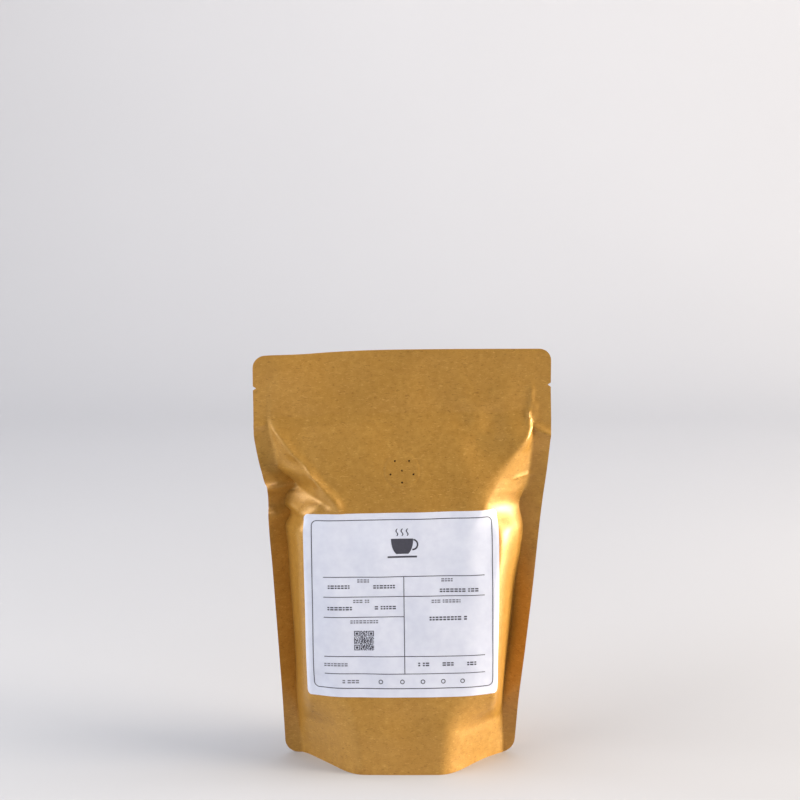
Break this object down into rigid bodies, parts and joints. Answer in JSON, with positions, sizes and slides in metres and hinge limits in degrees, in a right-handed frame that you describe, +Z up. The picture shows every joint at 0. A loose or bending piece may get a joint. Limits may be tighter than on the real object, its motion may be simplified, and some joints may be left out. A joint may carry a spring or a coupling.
{
  "type": "coffee bag",
  "caption": "Filled, heat-sealed stand-up coffee pouch of kraft laminate, with a flat notched header, a valve vent, side seals, a folded base and a blank-form paper label.",
  "frame": {"origin": "on the table, under the middle of the flat base", "axes": "+Z up along the pouch's height, -Y out of the labelled front, +X across the front to the viewer's right"},
  "size_m": [0.151, 0.0662, 0.2137],
  "materials": {
    "kraft": "satin kraft laminate",
    "label_paper": "matte coated label paper"
  },
  "bodies": {
    "root": {"pouch": "kraft", "label": "label_paper"}
  },
  "joints": []
}
